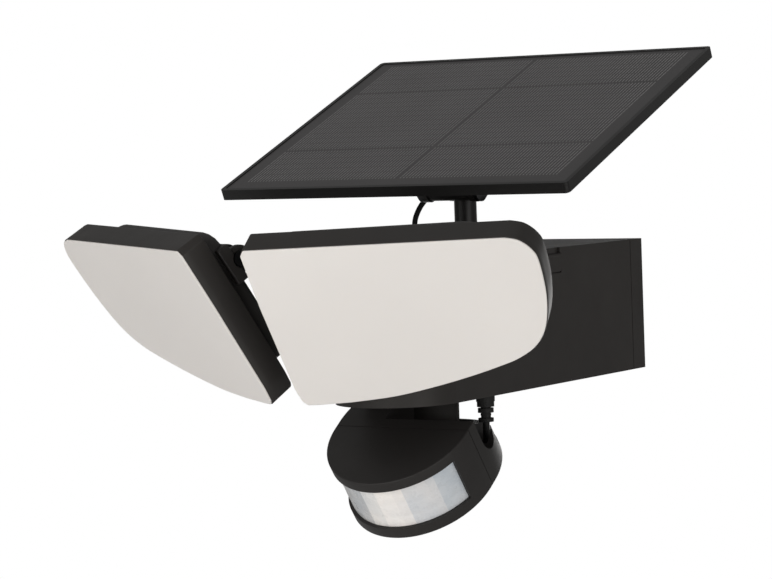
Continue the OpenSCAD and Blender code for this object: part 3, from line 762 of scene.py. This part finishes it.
def level_cut(y, z, x0, x1, front=0):
    """the space above a level plane through the point (y, z) of the tilted drum"""
    bm = block((x0, front, 0), (x1, 70, 40))
    bm.transform(Matrix.Translation((0, y, z)) @ Matrix.Rotation(-DRUM_TILT, 4, "X"))
    return bm


def drum_rear_mesh():
    """the rear shell, cut level under the housing, with the groove for the lead and the arm's slot"""
    arm_edge = 14.2
    groove_y, groove_z, groove_r = 16.9, -15.2, 10.1
    groove_back = groove_y + groove_r
    groove = rod((17.9, groove_y, groove_z), groove_r, 64.2, 96)
    over_groove = block((-arm_edge, groove_y - groove_r, groove_z), (50, groove_back, 5))
    behind_seam = turned([(HOLLOW_RADIUS, -37.4), (HOLLOW_RADIUS, -2.2)])
    hollow = combine(behind_seam, cut(block((-50, 5.6, -50), (50, 50, 5))))
    levels = level_cut(15.5, 0, -50, 50), level_cut(groove_back, -21, -arm_edge, 50, -16)
    slot = block((-arm_edge, 17, -34.8), (arm_edge, 34, 5)), block((-arm_edge, 30, -32), (arm_edge, 60, 5))
    lead_room = block((23.5, 17, -34.8), (35.5, 60, 5))
    lead_hole = turned([(3.6, -41), (3.6, -30)], (29.5, 20.6), 48)
    pivot = rod((-1.7, 24.2, -27.5), 2.52, 39)
    tools = cut(groove, over_groove, *levels, hollow, *slot, lead_room, lead_hole, pivot)
    bm = combine(drum_half(REAR_ARC, 0.2, 1), tools)
    bm.transform(drum_matrix())
    return finish_mesh(bm, "drum_rear", 35)


for name, mesh in (("drum_front", drum_front_mesh()), ("drum_rear", drum_rear_mesh())):
    piece = link(name.replace("drum", "sensor_case"), mesh, M["drum"], "sensor_body")
    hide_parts(name)


# ---------------------------------------------------------------- CAD pieces that stay
def dress(name, material, width=0.0, segments=2):
    """a CAD piece keeps its shape: its coplanar faces are joined and its edges slightly broken"""
    o = nodes[name]
    o.data.materials.clear()
    o.data.materials.append(material)
    if width:
        d = o.modifiers.new("joined", "DECIMATE")
        d.decimate_type = "DISSOLVE"
        d.angle_limit = math.radians(0.5)
        b = o.modifiers.new("edges", "BEVEL")
        b.width = width * MM
        b.segments = segments
        b.limit_method = "ANGLE"
        b.angle_limit = math.radians(35)
        b.use_clamp_overlap = True
        b.harden_normals = False


KEPT = {
    "wall_plate": ("housing", 0.5), "housing_seal": ("rubber", 0), "housing": ("housing", 0.8),
    "lock_screws": ("steel", 0.15), "battery_holder": ("black", 0.3), "battery_cells": ("wrap", 0.5),
    "control_board": ("board", 0), "board_screws": ("steel", 0.15), "usb_port": ("steel", 0),
    "flap_pin": ("steel", 0), "port_flap": ("housing", 0.2), "mode_button": ("black", 0.3),
    "head_bracket": ("housing", 0.8), "bracket_screws": ("steel", 0.3), "swing_pins": ("dark_steel", 0.4),
    "sensor_arm": ("housing", 0.3), "arm_screws": ("steel", 0.2), "sensor_gland": ("rubber", 0.25),
    "pole_base": ("housing", 0.4), "base_nut": ("steel", 0.3), "pole": ("pole", 0.2),
    "pole_head": ("pole", 0.6), "grub_screws": ("steel", 0), "panel_frame": ("frame", 0.45),
    "solar_laminate": ("solar", 0), "panel_back": ("frame", 0.3), "junction_box": ("frame", 0.5),
    "lead_gland": ("rubber", 0.3), "panel_bracket": ("pole", 0.4), "bracket_bolts": ("steel", 0.4),
    "panel_bolt": ("dark_steel", 0.3),
    "sensor_board": ("board", 0), "motion_element": ("steel", 0.2), "sensor_pivot": ("steel", 0.3),
    "drum_screws": ("steel", 0),
}
for word in ("right", "left"):
    KEPT.update({
        f"{word}_bezel": ("head", 0), f"{word}_knuckle": ("pole", 0.5), f"{word}_gasket": ("rubber", 0),
        f"{word}_board": ("white", 0), f"{word}_leds": ("phosphor", 0),
        f"{word}_tilt_pin": ("dark_steel", 0.4),
    })
for name, (kind, width) in KEPT.items():
    dress(name, M[kind], width)


# ---------------------------------------------------------------- floor and light
def stage_material():
    m, t, b = new_material("pale_floor")
    v = coords(t)
    t.links.new(ramp(t, noise(t, v, 3, 2), 0.3, 0.7, (0.86, 0.86, 0.86), (0.9, 0.9, 0.9)),
                b.inputs["Base Color"])
    b.inputs["Roughness"].default_value = 0.9
    return m


def make_stage():
    """a pale floor well below the light, just small enough to stay under the main view"""
    half_size, height = 1.3, -0.62
    bm = bmesh.new()
    bmesh.ops.create_grid(bm, x_segments=8, y_segments=8, size=half_size)
    bm.transform(Matrix.Translation((0, 0, height)))
    mesh = bpy.data.meshes.new("floor")
    bm.to_mesh(mesh)
    bm.free()
    link("floor", mesh, stage_material())


def area(name, at, to, size, power, colour=(1, 1, 1)):
    """a soft rectangular light that faces a point"""
    data = bpy.data.lights.new(name, "AREA")
    data.shape = "RECTANGLE"
    data.size, data.size_y = size
    data.energy = power
    data.color = colour
    o = bpy.data.objects.new(name, data)
    scene.collection.objects.link(o)
    o.location = at
    o.rotation_euler = (Vector(to) - Vector(at)).to_track_quat("-Z", "Y").to_euler()


def make_light():
    """a studio that is white where the camera looks past the object, and weak where it lights it"""
    world = bpy.data.worlds.new("studio")
    scene.world = world
    world.use_nodes = True
    t = world.node_tree
    t.nodes.clear()
    out = t.nodes.new("ShaderNodeOutputWorld")
    seen, lit = t.nodes.new("ShaderNodeBackground"), t.nodes.new("ShaderNodeBackground")
    seen.inputs["Color"].default_value = (1, 1, 1, 1)
    seen.inputs["Strength"].default_value = 1.0
    lit.inputs["Color"].default_value = (1, 0.995, 0.985, 1)
    lit.inputs["Strength"].default_value = 0.3
    path, mix = t.nodes.new("ShaderNodeLightPath"), t.nodes.new("ShaderNodeMixShader")
    t.links.new(path.outputs["Is Camera Ray"], mix.inputs["Fac"])
    t.links.new(lit.outputs[0], mix.inputs[1])
    t.links.new(seen.outputs[0], mix.inputs[2])
    t.links.new(mix.outputs[0], out.inputs["Surface"])
    area("key", (-0.8, -2.0, 0.45), (0, -0.2, 0), (1.3, 1.1), 17, (1, 0.985, 0.965))
    area("fill", (1.9, -1.0, -0.05), (0, -0.2, 0), (1.3, 1.3), 13, (1, 0.985, 0.96))
    area("low", (0.5, -1.8, -0.8), (0, -0.3, 0), (1.6, 0.8), 18, (1, 0.985, 0.96))
    area("top", (-0.2, -0.2, 1.9), (0, -0.15, 0), (1.4, 1.4), 1.8)
    area("rear", (-0.7, 1.8, -0.3), (0, -0.15, 0), (1.3, 0.9), 10, (1, 0.99, 0.98))


make_stage()
make_light()

bpy.context.view_layer.update()
